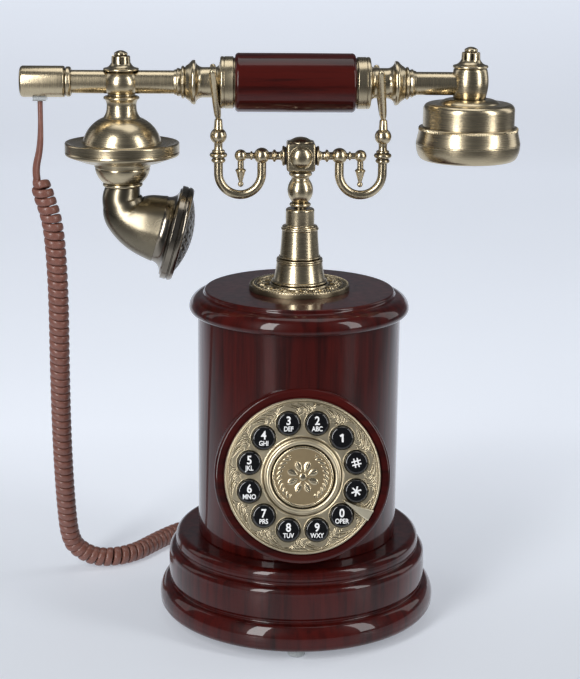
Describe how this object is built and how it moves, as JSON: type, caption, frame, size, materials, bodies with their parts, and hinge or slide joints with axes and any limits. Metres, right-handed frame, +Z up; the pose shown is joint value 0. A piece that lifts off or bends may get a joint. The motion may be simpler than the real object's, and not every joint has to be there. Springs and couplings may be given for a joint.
{
  "type": "push-button pillar telephone",
  "caption": "Desk telephone in antique pillar style: turned wooden base with a tilted dial of push buttons, brass column and forked cradle, and a long brass handset on a curly cord.",
  "frame": {"origin": "on the pillar's axis at table level, under the feet", "axes": "+Z up; -Y the dial's side; the handset lies along X with its mouthpiece at -X"},
  "size_m": [0.2512, 0.1872, 0.2999],
  "materials": {
    "antique_brass": "antique, dark patina in the hollows",
    "lacquered_wood": "dark mahogany under clear gloss lacquer",
    "key_plastic": "near-black, gloss, white characters",
    "foot_rubber": "translucent grey",
    "inner_plastic": "moulded black",
    "board": "circuit board",
    "steel": "plated",
    "clear_plastic": "clear modular plug",
    "cord_vinyl": "dusty rose-brown vinyl"
  },
  "bodies": {
    "base": {"rubber_feet": "foot_rubber", "bottom_cover": "inner_plastic", "cover_screws": "steel", "base_plinth": "lacquered_wood", "ringer": "inner_plastic", "handset_jack": "inner_plastic", "line_jack": "inner_plastic", "body_cylinder": "lacquered_wood", "dial_boss": "lacquered_wood", "top_cap": "lacquered_wood", "hook_switch": "inner_plastic", "dial_plate": "antique_brass", "dial_bezel": "antique_brass", "medallion": "antique_brass", "finger_stop": "antique_brass", "keypad_board": "board", "column_flange": "antique_brass", "column_bell": "antique_brass", "column_collar": "antique_brass", "base_plug": "clear_plastic", "cord_upper_lead": "cord_vinyl", "cord_coil": "cord_vinyl", "cord_lower_lead": "cord_vinyl"},
    "cradle": {"cradle_stem": "antique_brass", "cradle_head": "antique_brass", "head_rosettes": "antique_brass", "arm_washers": "antique_brass", "cradle_arms": "antique_brass", "drop_finials": "antique_brass", "cradle_hooks": "antique_brass", "cradle_forks": "antique_brass"},
    "handset": {"handset_grip": "lacquered_wood", "grip_collars": "antique_brass", "grip_ferrules": "antique_brass", "handset_tubes": "antique_brass", "end_cap": "antique_brass", "transmitter_fitting": "antique_brass", "receiver_fitting": "antique_brass", "finial_nuts": "antique_brass", "transmitter_bell": "antique_brass", "mouth_horn": "antique_brass", "mouth_rim": "antique_brass", "mouth_grille": "antique_brass", "receiver_cup": "antique_brass", "receiver_cap": "antique_brass", "handset_plug": "clear_plastic"},
    "button_1": {"key_1": "key_plastic"},
    "button_2": {"key_2": "key_plastic"},
    "button_3": {"key_3": "key_plastic"},
    "button_4": {"key_4": "key_plastic"},
    "button_5": {"key_5": "key_plastic"},
    "button_6": {"key_6": "key_plastic"},
    "button_7": {"key_7": "key_plastic"},
    "button_8": {"key_8": "key_plastic"},
    "button_9": {"key_9": "key_plastic"},
    "button_star": {"key_star": "key_plastic"},
    "button_0": {"key_0": "key_plastic"},
    "button_hash": {"key_hash": "key_plastic"}
  },
  "joints": [
    {"name": "handset_lift", "type": "slide", "parent": "base", "child": "handset", "axis": [0, 0, 1], "range_m": [0, 0.12]},
    {"name": "cradle_rise", "type": "slide", "parent": "base", "child": "cradle", "axis": [0, 0, 1], "range_m": [0, 0.003]},
    {"name": "press_1", "type": "slide", "parent": "base", "child": "button_1", "axis": [0, 0.9781, -0.2079], "range_m": [0, 0.0015], "stiffness_N_per_m": 300},
    {"name": "press_2", "type": "slide", "parent": "base", "child": "button_2", "axis": [0, 0.9781, -0.2079], "range_m": [0, 0.0015], "stiffness_N_per_m": 300},
    {"name": "press_3", "type": "slide", "parent": "base", "child": "button_3", "axis": [0, 0.9781, -0.2079], "range_m": [0, 0.0015], "stiffness_N_per_m": 300},
    {"name": "press_4", "type": "slide", "parent": "base", "child": "button_4", "axis": [0, 0.9781, -0.2079], "range_m": [0, 0.0015], "stiffness_N_per_m": 300},
    {"name": "press_5", "type": "slide", "parent": "base", "child": "button_5", "axis": [0, 0.9781, -0.2079], "range_m": [0, 0.0015], "stiffness_N_per_m": 300},
    {"name": "press_6", "type": "slide", "parent": "base", "child": "button_6", "axis": [0, 0.9781, -0.2079], "range_m": [0, 0.0015], "stiffness_N_per_m": 300},
    {"name": "press_7", "type": "slide", "parent": "base", "child": "button_7", "axis": [0, 0.9781, -0.2079], "range_m": [0, 0.0015], "stiffness_N_per_m": 300},
    {"name": "press_8", "type": "slide", "parent": "base", "child": "button_8", "axis": [0, 0.9781, -0.2079], "range_m": [0, 0.0015], "stiffness_N_per_m": 300},
    {"name": "press_9", "type": "slide", "parent": "base", "child": "button_9", "axis": [0, 0.9781, -0.2079], "range_m": [0, 0.0015], "stiffness_N_per_m": 300},
    {"name": "press_star", "type": "slide", "parent": "base", "child": "button_star", "axis": [0, 0.9781, -0.2079], "range_m": [0, 0.0015], "stiffness_N_per_m": 300},
    {"name": "press_0", "type": "slide", "parent": "base", "child": "button_0", "axis": [0, 0.9781, -0.2079], "range_m": [0, 0.0015], "stiffness_N_per_m": 300},
    {"name": "press_hash", "type": "slide", "parent": "base", "child": "button_hash", "axis": [0, 0.9781, -0.2079], "range_m": [0, 0.0015], "stiffness_N_per_m": 300}
  ],
  "couplings": [
    {"joint": "cradle_rise", "follows": "handset_lift", "ratio": 0.025}
  ]
}
